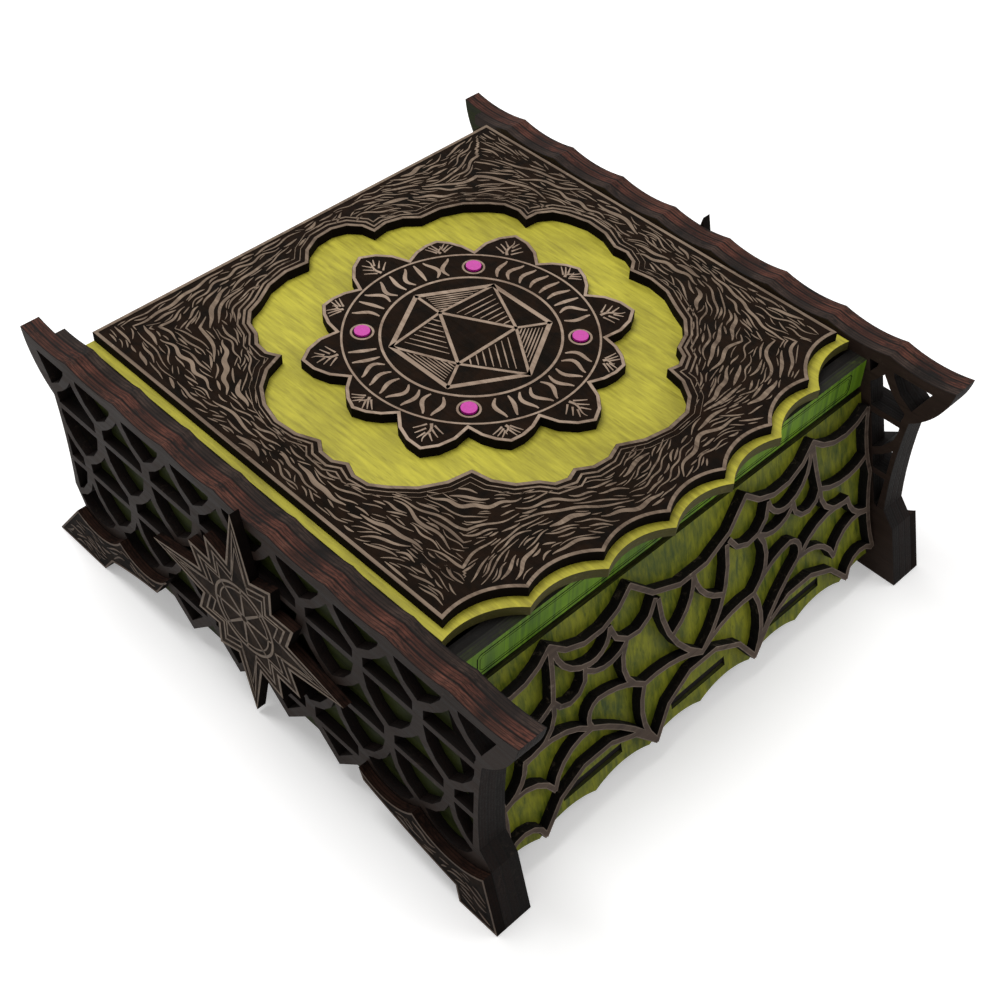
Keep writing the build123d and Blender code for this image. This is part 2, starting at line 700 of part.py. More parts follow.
def strand_face(start, via, end, width):
    """A strand of even width along an arc in straight cuts, run on a little at both ends."""
    points = arc_points(start, via, end, WEB_STEPS)
    left, right = [], []
    for i, point in enumerate(points):
        before = points[max(i - 1, 0)]
        after = points[min(i + 1, WEB_STEPS)]
        span = math.dist(before, after)
        along = ((after[0] - before[0]) / span, (after[1] - before[1]) / span)
        run_on = {0: -WEB_RUN_ON, WEB_STEPS: WEB_RUN_ON}.get(i, 0.0)
        x = point[0] + along[0] * run_on
        y = point[1] + along[1] * run_on
        left.append((x - along[1] * width / 2, y + along[0] * width / 2))
        right.append((x + along[1] * width / 2, y - along[0] * width / 2))
    return outline(left[0], *left[1:], *reversed(right))


def web_screen():
    """Web of thin strands in front of the sloped board."""
    x_scale = (FACE_HALF - WEB_EDGE) / WEB_DRAWN_HALF
    y_scale = (FACE_LENGTH - WEB_FOOT) / WEB_DRAWN_LENGTH
    strands = list(WEB_MIDDLE_STRANDS)
    for side in (-1, 1):
        strands += [[(side * x, y) for x, y in strand] for strand in WEB_STRANDS]
    faces = []
    for strand in strands:
        placed = [(x * x_scale, y * y_scale) for x, y in strand]
        faces.append(strand_face(*placed, STRAND))
    web = Sketch() + faces
    return extrude(SLOPE * web, amount=PLY)


def drawer_bottom():
    """Bottom board with tabs that pass through the sloped front."""
    piece = board(-DRAWER_HALF, DRAWER_HALF, BOTTOM_FRONT_Y, DRAWER_BACK_Y, DRAWER_BOTTOM_Z, DRAWER_FLOOR)
    tab_end = slope_y(DRAWER_FLOOR) + TAB_SINK
    for x in tab_places():
        piece += board(x - TAB_WIDTH / 2, x + TAB_WIDTH / 2, tab_end, BOTTOM_FRONT_Y,
                       DRAWER_BOTTOM_Z, DRAWER_FLOOR)
    return piece


def drawer_side(side):
    """Upright side; its front edge is cut to the slope of the face."""
    face = outline(
        (slope_y(DRAWER_FLOOR, PLY), DRAWER_FLOOR),
        (DRAWER_BACK_Y, DRAWER_FLOOR),
        (DRAWER_BACK_Y, DRAWER_TOP),
        (slope_y(DRAWER_TOP, PLY), DRAWER_TOP),
    )
    x = DRAWER_INNER if side > 0 else -DRAWER_HALF
    return extrude(Plane.YZ.offset(x) * face, amount=PLY)


def drawer_back():
    return board(-DRAWER_INNER, DRAWER_INNER, DRAWER_BACK_Y - PLY, DRAWER_BACK_Y, DRAWER_FLOOR, DRAWER_TOP)


def drawer_cross_dividers():
    """Dividers along Y whose front ends are cut to the slope of the face."""
    front = slope_y(DRAWER_FLOOR, PLY)
    places = cross_places(DRAWER_CROSS_DIVIDERS, DRAWER_INNER)
    back = DRAWER_BACK_Y - PLY
    group = cross_dividers(
        places, front, back, DRAWER_LONG_DIVIDER_Y, DRAWER_FLOOR, DRAWER_DIVIDER_TOP)
    behind = outline(
        (slope_y(0, PLY), 0), (BIG, 0), (BIG, BIG), (slope_y(BIG, PLY), BIG),
    )
    keep = extrude(Plane.YZ.offset(-BIG) * behind, amount=2 * BIG)
    return Compound(children=[(piece & keep).solid() for piece in group.solids()])


# ------------------------------------------------------------------ all the pieces
pieces = {}
for side, name in ((-1, "left"), (1, "right")):
    pieces["lattice_outer_" + name] = lattice_outer(side)
    pieces["side_wall_" + name] = side_wall(side)
    pieces["side_liner_" + name] = side_liner(side)
    pieces["front_foot_" + name] = foot_plate(side, FRONT_FOOT, -1)
    pieces["back_foot_" + name] = foot_plate(side, BACK_FOOT, 1)
    pieces["star_" + name] = star(side)
    pieces["hinge_pin_" + name] = hinge_pin(side)
    pieces["drawer_side_" + name] = drawer_side(side)

top_places = cross_places(TOP_CROSS_DIVIDERS, INNER_X)
drawer_places = cross_places(DRAWER_CROSS_DIVIDERS, DRAWER_INNER)
pieces["header_strip"] = header_strip()
pieces["front_wall"] = front_wall()
pieces["back_wall"] = back_wall()
pieces["compartment_floor"] = compartment_floor()
pieces["base_board"] = base_board()
pieces["top_long_divider"] = long_divider(
    INNER_X, TOP_LONG_DIVIDER_Y, FLOOR_TOP, DIVIDER_TOP, top_places)
pieces["top_cross_dividers"] = cross_dividers(
    top_places, FRONT_INNER_Y, BACK_INNER_Y, TOP_LONG_DIVIDER_Y, FLOOR_TOP, DIVIDER_TOP)
pieces["lid_board"] = lid_board()
pieces["lid_frame"] = lid_frame()
pieces["lid_medallion"] = lid_medallion()
pieces["lid_inlays"] = lid_inlays()
pieces["lid_batten_front"] = lid_batten(FRONT_INNER_Y + BATTEN_FRONT_GAP + BATTEN_WIDTH / 2)
pieces["lid_batten_back"] = lid_batten(BATTEN_BACK_Y)
pieces["drawer_face"] = drawer_face()
pieces["web_screen"] = web_screen()
pieces["drawer_bottom"] = drawer_bottom()
pieces["drawer_back"] = drawer_back()
pieces["drawer_long_divider"] = long_divider(
    DRAWER_INNER, DRAWER_LONG_DIVIDER_Y, DRAWER_FLOOR, DRAWER_DIVIDER_TOP, drawer_places)
pieces["drawer_cross_dividers"] = drawer_cross_dividers()

for name, piece in pieces.items():
    export_step(piece, os.path.join("parts", name + ".step"))
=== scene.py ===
import math
import random

import bpy
from mathutils import Matrix, Vector


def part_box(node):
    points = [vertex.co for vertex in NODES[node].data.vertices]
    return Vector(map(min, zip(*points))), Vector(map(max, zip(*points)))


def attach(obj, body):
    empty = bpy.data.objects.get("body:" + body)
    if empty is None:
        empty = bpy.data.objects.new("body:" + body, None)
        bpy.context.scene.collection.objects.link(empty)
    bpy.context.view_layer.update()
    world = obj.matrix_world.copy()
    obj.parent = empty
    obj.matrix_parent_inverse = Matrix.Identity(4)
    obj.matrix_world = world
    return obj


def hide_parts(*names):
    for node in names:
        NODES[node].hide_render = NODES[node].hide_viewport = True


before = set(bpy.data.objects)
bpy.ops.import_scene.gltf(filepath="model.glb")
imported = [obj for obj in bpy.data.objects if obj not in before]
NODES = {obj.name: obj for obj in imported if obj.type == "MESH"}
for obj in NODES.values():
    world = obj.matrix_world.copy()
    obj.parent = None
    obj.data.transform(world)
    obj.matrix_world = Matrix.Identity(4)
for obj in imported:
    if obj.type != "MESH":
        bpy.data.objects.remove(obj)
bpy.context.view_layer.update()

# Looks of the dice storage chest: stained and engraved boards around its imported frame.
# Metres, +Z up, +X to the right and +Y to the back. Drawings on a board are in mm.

MM = 0.001


def reach(node, axis):
    """Lowest and highest place of a node along one axis (0, 1 or 2), in mm."""
    low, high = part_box(node)
    return low[axis] / MM, high[axis] / MM


BOARD = 4.0                                    # board thickness in mm
LEAN = math.radians(14.9)                      # the sloped front's lean
WEB_TOP = (-92.6, 82.9)                        # sloped board's upper front edge, Y and Z in mm
LID_TOP = reach("lid_frame", 2)[1]             # upper face of the lid's brown board
LID_START = reach("lid_board", 2)[0]           # underside of the lid
SIDE_X = reach("star_right", 0)[1]             # outer faces of stars and feet, from the middle
SIDE_START = -reach("side_liner_left", 0)[1]   # inner faces of the side boards
STAR_Z = sum(reach("star_right", 2)) / 2       # height of the stars' middles
HEADER_Y = reach("header_strip", 1)[0]         # front face of the strip above the drawer
RAIL_EDGE = 0.1026                             # the rails' upper edges lie above this, in m

RAISED = 0.14         # how far the lines on the lid stand over the board's face
FLUSH = 0.0           # lines on stars and feet end at the board's own face
ENGRAVED = 0.15       # how deep the ground beside those is cut
LINE_DEPTH = 0.2      # full height of a line, with the part sunk in the board
ON_PLATE = 0.02       # a face this near to a plate lies on it
TINY = 1e-6


# ------------------------------------------------------------------ shader group tools
class Tree:
    """Short-hand for adding and joining nodes in one node tree."""

    def __init__(self, tree):
        self.tree = tree

    def add(self, kind, inputs=None, **settings):
        node = self.tree.nodes.new(kind)
        for name, value in settings.items():
            setattr(node, name, value)
        for name, value in (inputs or {}).items():
            self.feed(node.inputs[name], value)
        return node

    def feed(self, socket, value):
        if isinstance(value, bpy.types.NodeSocket):
            self.tree.links.new(value, socket)
        else:
            socket.default_value = value

    def math(self, operation, a, b=0.0, clamp=False):
        node = self.add("ShaderNodeMath", {0: a, 1: b}, operation=operation, use_clamp=clamp)
        return node.outputs[0]

    def vector(self, operation, a, b):
        node = self.add("ShaderNodeVectorMath", {0: a, 1: b}, operation=operation)
        return node.outputs["Value" if operation == "DOT_PRODUCT" else "Vector"]

    def length(self, vector):
        node = self.add("ShaderNodeVectorMath", {0: vector}, operation="LENGTH")
        return node.outputs["Value"]

    def mix(self, factor, a, b):
        """Colour a, turning into colour b as the factor rises."""
        inputs = {0: factor, 6: a, 7: b}
        return self.add("ShaderNodeMix", data_type="RGBA", inputs=inputs).outputs[2]

    def blend(self, factor, a, b):
        """Value a, turning into value b as the factor rises."""
        return self.add("ShaderNodeMix", {0: factor, 2: a, 3: b}).outputs[0]

    def flip(self, value):
        return self.math("SUBTRACT", 1.0, value)

    def spread(self, value, low, high, out_low=0.0, out_high=1.0):
        """The value's range low to high stretched over the out range, and held there."""
        inputs = {"Value": value, "From Min": low, "From Max": high,
                  "To Min": out_low, "To Max": out_high}
        return self.add("ShaderNodeMapRange", inputs, clamp=True).outputs["Result"]

    def noise(self, vector, scale, detail=3.0, rough=0.55, warp=0.0):
        inputs = {"Vector": vector, "Scale": scale, "Detail": detail,
                  "Roughness": rough, "Distortion": warp}
        return self.add("ShaderNodeTexNoise", inputs).outputs["Fac"]

    def place(self):
        """Each point's place in its own piece, in metres."""
        return self.add("ShaderNodeTexCoord").outputs["Object"]

    def bump(self, height, strength, distance=0.0002):
        inputs = {"Strength": strength, "Distance": distance, "Height": height}
        return self.add("ShaderNodeBump", inputs).outputs[0]


def new_group(name, sockets_in, sockets_out):
    """An empty node group with named sockets; returns its tools, inputs and output node."""
    group = bpy.data.node_groups.new(name, "ShaderNodeTree")
    for label, kind, default in sockets_in:
        socket = group.interface.new_socket(
            name=label, in_out="INPUT", socket_type="NodeSocket" + kind)
        socket.default_value = default
    for label, kind in sockets_out:
        group.interface.new_socket(name=label, in_out="OUTPUT", socket_type="NodeSocket" + kind)
    tree = Tree(group)
    return tree, tree.add("NodeGroupInput").outputs, tree.add("NodeGroupOutput").inputs


def veneer_grain():
    """Birch face veneer: long fibres, slow clouding and short pores along one direction."""
    tree, given, out = new_group("Veneer grain", [
        ("Pale", "Color", (0.8, 0.8, 0.8, 1)), ("Deep", "Color", (0.2, 0.2, 0.2, 1)),
        ("Fibre stretch", "Vector", (20, 400, 400)), ("Contrast", "Float", 0.5),
    ], [("Color", "Color"), ("Height", "Float"), ("Roughness", "Float")])
    place = tree.place()
    along = tree.vector("MULTIPLY", place, given["Fibre stretch"])
    fibre = tree.noise(along, scale=1.0, detail=6.0, rough=0.62, warp=0.3)
    cloud = tree.noise(place, scale=26.0, detail=3.0, rough=0.5, warp=0.8)
    finer = tree.vector("MULTIPLY", along, (2.4, 2.4, 2.4))
    pores = tree.spread(tree.noise(finer, scale=1.0, detail=2.0, rough=0.5), 0.60, 0.74)
    fibre_part = tree.math("MULTIPLY", fibre, 0.65)
    cloud_part = tree.math("MULTIPLY", cloud, 0.35)
    tone = tree.spread(tree.math("ADD", fibre_part, cloud_part), 0.36, 0.64)
    weight = tree.math("MULTIPLY", tree.flip(tone), given["Contrast"])
    colour = tree.mix(weight, given["Pale"], given["Deep"])
    pore_contrast = tree.math("MULTIPLY", given["Contrast"], 0.55)
    pore_weight = tree.math("MULTIPLY", pores, pore_contrast)
    pore_depth = tree.math("MULTIPLY", pores, 0.5)
    tree.feed(out["Color"], tree.mix(pore_weight, colour, given["Deep"]))
    tree.feed(out["Height"], tree.math("SUBTRACT", fibre, pore_depth))
    tree.feed(out["Roughness"], tree.spread(fibre, 0.3, 0.7, 0.46, 0.66))
    return tree.tree


def stripes(tree, depth, pitch, low, high):
    """Dark stripes once in every pitch of depth (mm), 1 in their middle and 0 between them."""
    turns = tree.math("MULTIPLY", depth, math.pi / (pitch * MM))
    wave = tree.math("ABSOLUTE", tree.math("SINE", turns))
    return tree.flip(tree.spread(wave, low, high))


def burnt_layers():
    """Cut board edge: three glued veneers seen from the side, burnt by the cutting; edges facing
    up above a given height keep a lighter warm colour as painted light, the rest go to soot,
    partly burn and partly painted shade.
    """
    tree, given, out = new_group("Burnt layers", [
        ("Warm", "Color", (0.1, 0.05, 0.03, 1)), ("Soot", "Color", (0.01, 0.01, 0.01, 1)),
        ("Layer axis", "Vector", (1, 0, 0)), ("Layer offset", "Float", 0.0),
        ("Streak stretch", "Vector", (900, 60, 900)), ("Clean above", "Float", -1.0),
    ], [("Color", "Color"), ("Height", "Float"), ("Roughness", "Float")])
    coordinates = tree.add("ShaderNodeTexCoord").outputs
    place = coordinates["Object"]
    depth = tree.math("ABSOLUTE", tree.vector("DOT_PRODUCT", place, given["Layer axis"]))
    depth = tree.math("SUBTRACT", depth, given["Layer offset"])
    wander = tree.math("SUBTRACT", tree.noise(place, scale=60.0, detail=2.0), 0.5)
    wander = tree.math("MULTIPLY", wander, 0.5 * MM)
    glue = stripes(tree, tree.math("ADD", depth, wander), BOARD / 3, 0.1, 0.5)
    joint = stripes(tree, depth, BOARD, 0.14, 0.46)
    stretched = tree.vector("MULTIPLY", place, given["Streak stretch"])
    streak = tree.noise(stretched, scale=1.0, detail=5.0, rough=0.7)
    patch = tree.noise(place, scale=70.0, detail=3.0, rough=0.6, warp=0.5)

    # Painted light and shade: only edges that face up, above a given height, keep the wood's warm,
    # lighter colour; all other edges take the soot colour, partly real burn and partly painted
    # shade.
    up = (0, 0, 1)
    lit_top = tree.math("ADD", given["Clean above"], 1.2 * MM)
    high = tree.spread(tree.vector("DOT_PRODUCT", place, up), given["Clean above"], lit_top)
    facing_up = tree.spread(tree.vector("DOT_PRODUCT", coordinates["Normal"], up), 0.2, 0.6)
    lit_edge = tree.math("MULTIPLY", high, facing_up)
    warm_and_lit = tree.math("ADD", streak, tree.math("MULTIPLY", patch, 0.6))
    warm_and_lit = tree.spread(warm_and_lit, 0.62, 1.02)
    warm_and_lit = tree.math("MULTIPLY", warm_and_lit, tree.spread(lit_edge, 0.0, 1.0, 0.05, 1.0))
    colour = tree.mix(warm_and_lit, given["Soot"], given["Warm"])
    lines = tree.math("MAXIMUM", tree.math("MULTIPLY", glue, 0.72), joint)
    tree.feed(out["Color"], tree.mix(lines, colour, given["Soot"]))
    tree.feed(out["Height"], tree.math("SUBTRACT", streak, tree.math("MULTIPLY", lines, 0.9)))
    tree.feed(out["Roughness"], tree.spread(streak, 0.3, 0.7, 0.62, 0.85))
    return tree.tree


def face_or_edge():
    """1 on the flat faces of a board, 0 on its cut edges, from the board's own axis."""
    tree, given, out = new_group(
        "Face or edge", [("Board axis", "Vector", (0, 0, 1))], [("Face", "Float")])
    normal = tree.add("ShaderNodeTexCoord").outputs["Normal"]
    square = tree.math("ABSOLUTE", tree.vector("DOT_PRODUCT", normal, given["Board axis"]))
    tree.feed(out["Face"], tree.spread(square, 0.80, 0.90))
    return tree.tree


def handling_wear():
    """Light rubbed spots and dull smudges of a handled box."""
    tree, given, out = new_group("Handling wear", [
        ("Color", "Color", (0.5, 0.5, 0.5, 1)), ("Rubbed", "Color", (0.6, 0.5, 0.4, 1)),
        ("Amount", "Float", 0.3), ("Roughness", "Float", 0.5),
    ], [("Color", "Color"), ("Roughness", "Float")])
    place = tree.place()
    spots = tree.noise(place, scale=320.0, detail=5.0, rough=0.7, warp=0.4)
    field = tree.noise(place, scale=34.0, detail=2.0)
    rubbed = tree.math("MULTIPLY", tree.spread(spots, 0.56, 0.72), tree.spread(field, 0.42, 0.66))
    rubbed = tree.math("MULTIPLY", rubbed, given["Amount"])
    smudge = tree.math("MULTIPLY", tree.math("SUBTRACT", field, 0.5), 0.22)
    tree.feed(out["Color"], tree.mix(rubbed, given["Color"], given["Rubbed"]))
    tree.feed(out["Roughness"], tree.math("ADD", given["Roughness"], smudge, clamp=True))
    return tree.tree


def scorch_pattern():
    """Uneven scorching of an engraved ground, darker in fine scan lines."""
    tree, given, out = new_group("Engraved scorch", [
        ("Ground", "Color", (0.05, 0.03, 0.02, 1)), ("Char", "Color", (0.01, 0.008, 0.006, 1)),
        ("Scan axis", "Vector", (0, 1, 0)),
    ], [("Color", "Color"), ("Height", "Float")])
    scans_per_metre = 9000.0
    place = tree.place()
    across = tree.vector("DOT_PRODUCT", place, given["Scan axis"])
    scan = tree.math("SINE", tree.math("MULTIPLY", across, scans_per_metre))
    cloud = tree.noise(place, scale=130.0, detail=4.0, rough=0.65, warp=0.6)
    tone = tree.spread(cloud, 0.35, 0.68)
    tone = tree.math("ADD", tone, tree.math("MULTIPLY", scan, 0.06), clamp=True)
    tree.feed(out["Color"], tree.mix(tone, given["Char"], given["Ground"]))
    tree.feed(out["Height"], tree.math("ADD", cloud, tree.math("MULTIPLY", scan, 0.1)))
    return tree.tree


GRAIN = veneer_grain()
LAYERS = burnt_layers()
FACE = face_or_edge()
WEAR = handling_wear()
SCORCH = scorch_pattern()


# ------------------------------------------------------------------ materials
def srgb(red, green, blue):
    """Colour from 0-255 screen values, as the linear values that shaders use."""
    out = []
    for value in (red, green, blue):
        c = value / 255
        out.append(c / 12.92 if c <= 0.04045 else ((c + 0.055) / 1.055) ** 2.4)
    return (*out, 1.0)


def new_material(name):
    material = bpy.data.materials.new(name)
    material.use_nodes = True
    material.node_tree.nodes.clear()
    tree = Tree(material.node_tree)
    shader = tree.add("ShaderNodeBsdfPrincipled")
    end = tree.add("ShaderNodeOutputMaterial")
    tree.feed(end.inputs["Surface"], shader.outputs[0])
    return material, tree, shader


def use(tree, group, **inputs):
    """Places a shader group and feeds its inputs; _ in a name stands for a space."""
    node = tree.add("ShaderNodeGroup")
    node.node_tree = group
    for name, value in inputs.items():
        tree.feed(node.inputs[name.replace("_", " ")], value)
    return node.outputs


# Noise scales on X, Y and Z: low along the fibres, high across them.
FIBRES = {
    "x": (14.0, 420.0, 420.0),
    "y": (420.0, 14.0, 420.0),
    "z": (420.0, 420.0, 14.0),
    "flecks": (560.0, 60.0, 560.0),
}
STREAKS = {
    "x": (50.0, 1400.0, 1400.0),
    "y": (1400.0, 50.0, 1400.0),
    "z": (1400.0, 1400.0, 50.0),
    "flecks": (1400.0, 50.0, 1400.0),
}
AXES = {
    "x": (1, 0, 0),
    "y": (0, 1, 0),
    "z": (0, 0, 1),
    "slope": (0, -math.cos(LEAN), math.sin(LEAN)),
}


def board_material(name, pale, deep, board, fibre, warm=(58, 40, 33), soot=(10, 7, 6),
                   contrast=0.6, wear=0.2, rubbed=(96, 84, 74), streak=None, gloss=0.12,
                   start=0.0, lit_above=-1.0):
    """Stained board: veneered faces across one axis, burnt layered edges all round; edges that
    face up above a given height are painted lighter, the others dark with soot and painted shade.
    """
    material, tree, shader = new_material(name)
    face = use(tree, FACE, Board_axis=AXES[board])["Face"]
    grain = use(tree, GRAIN, Pale=srgb(*pale), Deep=srgb(*deep), Contrast=contrast,
                Fibre_stretch=FIBRES[fibre])
    edge = use(tree, LAYERS, Warm=srgb(*warm), Soot=srgb(*soot), Layer_axis=AXES[board],
               Layer_offset=start * MM, Clean_above=lit_above,
               Streak_stretch=STREAKS[streak or fibre])
    worn = use(tree, WEAR, Rubbed=srgb(*rubbed), Amount=wear,
               Color=tree.mix(face, edge["Color"], grain["Color"]),
               Roughness=tree.blend(face, edge["Roughness"], grain["Roughness"]))
    height = tree.blend(face, edge["Height"], grain["Height"])
    tree.feed(shader.inputs["Base Color"], worn["Color"])
    tree.feed(shader.inputs["Roughness"], worn["Roughness"])
    tree.feed(shader.inputs["Normal"], tree.bump(height, 0.35))
    shader.inputs["Specular IOR Level"].default_value = gloss
    return material


def engraved_material(name, board, start, ground=(28, 17, 9), char=(11, 7, 4)):
    """Board whose faces are engraved dark, with burnt layered edges."""
    material, tree, shader = new_material(name)
    face = use(tree, FACE, Board_axis=AXES[board])["Face"]
    burn = use(tree, SCORCH, Ground=srgb(*ground), Char=srgb(*char))
    edge = use(tree, LAYERS, Warm=srgb(52, 34, 27), Soot=srgb(9, 6, 5),
               Layer_axis=AXES[board], Layer_offset=start * MM)
    tree.feed(shader.inputs["Base Color"], tree.mix(face, edge["Color"], burn["Color"]))
    tree.feed(shader.inputs["Roughness"], edge["Roughness"])
    tree.feed(shader.inputs["Normal"], tree.bump(burn["Height"], 0.5))
    shader.inputs["Specular IOR Level"].default_value = 0.04
    return material


def raised_material(name, pale, deep, fibre):
    """Tops of the raised lines: the stained veneer left standing by the engraving."""
    material, tree, shader = new_material(name)
    grain = use(tree, GRAIN, Pale=srgb(*pale), Deep=srgb(*deep), Contrast=0.9,
                Fibre_stretch=FIBRES[fibre])
    worn = use(tree, WEAR, Color=grain["Color"], Roughness=grain["Roughness"],
               Rubbed=srgb(176, 160, 142), Amount=0.5)
    tree.feed(shader.inputs["Base Color"], worn["Color"])
    tree.feed(shader.inputs["Roughness"], worn["Roughness"])
    tree.feed(shader.inputs["Normal"], tree.bump(grain["Height"], 0.4, distance=0.0001))
    shader.inputs["Specular IOR Level"].default_value = 0.15
    return material


def pin_material():
    """Drawn steel pin with fine lengthwise lines."""
    material, tree, shader = new_material("Pin steel")
    stretched = tree.vector("MULTIPLY", tree.place(), (60, 3000, 3000))
    lines = tree.noise(stretched, scale=1.0)
    steel = tree.mix(lines, srgb(150, 150, 152), srgb(188, 188, 190))
    tree.feed(shader.inputs["Base Color"], steel)
    tree.feed(shader.inputs["Roughness"], tree.spread(lines, 0.3, 0.7, 0.28, 0.42))
    shader.inputs["Metallic"].default_value = 1.0
    return material


def inlay_material():
    """Glossy magenta inlay with a faint swirl."""
    material, tree, shader = new_material("Magenta inlay")
    swirl = tree.noise(tree.place(), scale=420.0, detail=3.0, rough=0.6, warp=2.5)
    magenta = tree.mix(swirl, srgb(160, 8, 122), srgb(208, 38, 172))
    tree.feed(shader.inputs["Base Color"], magenta)
    tree.feed(shader.inputs["Roughness"], tree.spread(swirl, 0.3, 0.7, 0.16, 0.24))
    shader.inputs["Coat Weight"].default_value = 0.6
    return material


BROWN = ((51, 39, 33), (23, 16, 13))          # pale and deep tone of the brown stain
LATTICE_BROWN = ((43, 33, 28), (20, 14, 11))
SOOT = (8, 5, 4)
DEEP_SOOT = (5, 4, 3)
# Side boards: cut edges that face up above the rails' upper edges are painted lighter, all lower
# ones dark with soot and painted shade.
RAIL = {"start": SIDE_START, "lit_above": RAIL_EDGE, "soot": SOOT}
M = {
    "lid green": board_material(
        "Lid green", (186, 178, 58), (120, 112, 24), "z", "flecks",
        warm=(150, 148, 50), soot=(62, 58, 18), rubbed=(206, 200, 112),
        contrast=0.8, wear=0.12, gloss=0.3, start=LID_START, lit_above=0.0),
    # Same green board as the lid, painted darker and duller as painted shade of the sloped front.
    "shade-darkened front green": board_material(
        "Shade-darkened front green", (132, 134, 30), (50, 66, 10), "slope", "z", streak="x",
        warm=(70, 74, 24), soot=SOOT, rubbed=(158, 162, 78),
        contrast=1.0, wear=0.12, gloss=0.2),
    "header green": board_material(
        "Header green", (108, 146, 26), (52, 84, 8), "y", "z", streak="x",
        warm=(34, 40, 12), soot=SOOT, rubbed=(140, 160, 60),
        contrast=1.0, wear=0.12, gloss=0.2),
    # Green side boards, painted much darker as painted shade of the sides seen through the
    # lattice's holes.
    "shade-darkened side green": board_material(
        "Shade-darkened side green", (44, 50, 12), (16, 20, 4), "x", "y",
        warm=(96, 58, 48), rubbed=(70, 78, 30), contrast=0.9, wear=0.1, **RAIL),
    "lattice brown": board_material(
        "Lattice brown", *LATTICE_BROWN, "x", "y",
        warm=(102, 64, 53), rubbed=(84, 72, 63), contrast=0.8, wear=0.3, **RAIL),
    "inner brown": board_material("Inner brown", *BROWN, "x", "y", warm=(68, 54, 48), **RAIL),
    "upright brown": board_material("Upright brown", *BROWN, "y", "x"),
    # Front wall under the lid's edge: burnt edges, painted nearly black as painted shade under the
    # lid.
    "scorched and shaded wall": board_material(
        "Scorched and shaded wall", *BROWN, "y", "x", warm=(14, 10, 8), soot=DEEP_SOOT),
    "level brown": board_material("Level brown", *BROWN, "z", "x"),
    # The web's cut edges are near black: burnt, and painted shade of the web's sides and the gaps
    # behind it.
    "web brown": board_material(
        "Web brown", (88, 74, 64), (48, 38, 32), "slope", "x",
        warm=(20, 14, 11), soot=DEEP_SOOT, rubbed=(124, 110, 98), contrast=0.9, wear=0.5),
    "engraved lid": engraved_material("Engraved lid", "z", LID_START),
    "engraved star": engraved_material(
        "Engraved star", "x", SIDE_START, ground=(50, 40, 33), char=(18, 13, 10)),
    "engraved foot": engraved_material(
        "Engraved foot", "x", SIDE_START, ground=(34, 26, 21), char=(9, 7, 6)),
    "burnt line": engraved_material(
        "Burnt line", "y", 0.0, ground=(14, 10, 8), char=(6, 4, 3)),
    "raised lid": raised_material("Raised lid lines", (136, 118, 101), (72, 57, 45), "y"),
    "raised medallion": raised_material(
        "Raised medallion lines", (168, 148, 130), (112, 92, 77), "y"),
    "raised star": raised_material("Raised star lines", (126, 112, 98), (80, 67, 57), "y"),
    "raised foot": raised_material("Raised foot lines", (96, 80, 68), (52, 41, 34), "y"),
    "raised web": raised_material("Raised web rim", (122, 108, 96), (76, 64, 55), "x"),
    "pin": pin_material(),
    "inlay": inlay_material(),
}
FINISHES = {  # the longest beginning of a node's name gives its finish
    "lattice_outer": "lattice brown",
    "side_wall": "shade-darkened side green",
    "side_liner": "inner brown",
    "front_foot": "engraved foot",
    "back_foot": "engraved foot",
    "star": "engraved star",
    "hinge_pin": "pin",
    "header_strip": "header green",
    "front_wall": "scorched and shaded wall",
    "back_wall": "upright brown",
    "compartment_floor": "level brown",
    "base_board": "level brown",
    "top_long_divider": "upright brown",
    "top_cross_dividers": "inner brown",
    "lid_board": "lid green",
    "lid_frame": "engraved lid",
    "lid_medallion": "engraved lid",
    "lid_inlays": "inlay",
    "lid_batten": "level brown",
    "drawer_face": "shade-darkened front green",
    "web_screen": "web brown",
    "drawer_bottom": "level brown",
    "drawer_side": "inner brown",
    "drawer_back": "upright brown",
    "drawer_long_divider": "upright brown",
    "drawer_cross_dividers": "inner brown",
}


def dress_boards():
    """Gives every board of the frame its finish."""
    for node, obj in NODES.items():
        key = max((k for k in FINISHES if node.startswith(k)), key=len)
        obj.data.materials.clear()
        obj.data.materials.append(M[FINISHES[key]])


# ------------------------------------------------------------------ drawing tools
class Plate:
    """A flat face of the chest to draw on: two drawing axes and their outward normal."""

    def __init__(self, origin, u, v):
        self.origin = Vector(origin)
        self.u = Vector(u).normalized()
        self.v = Vector(v).normalized()
        self.n = self.u.cross(self.v)

    def place(self, point, height=0.0):
        """A drawing's point, in mm, as a place in the world."""
        return (self.origin + self.u * point[0] + self.v * point[1] + self.n * height) * MM

    def flat(self, world):
        """A place in the world as x, y and height over the plate, in mm."""
        offset = Vector(world) / MM - self.origin
        return offset.dot(self.u), offset.dot(self.v), offset.dot(self.n)


LID_PLATE = Plate((0, 0, LID_TOP), (1, 0, 0), (0, 1, 0))
SIDE_PLATES = {
    "left": Plate((-SIDE_X, 0, STAR_Z), (0, -1, 0), (0, 0, 1)),
    "right": Plate((SIDE_X, 0, STAR_Z), (0, 1, 0), (0, 0, 1)),
}
WEB_PLATE = Plate(
    (0, WEB_TOP[0] - BOARD * math.cos(LEAN), WEB_TOP[1] + BOARD * math.sin(LEAN)),
    (1, 0, 0), (0, math.sin(LEAN), math.cos(LEAN)))
HEADER_PLATE = Plate((0, HEADER_Y, 0), (1, 0, 0), (0, 0, 1))


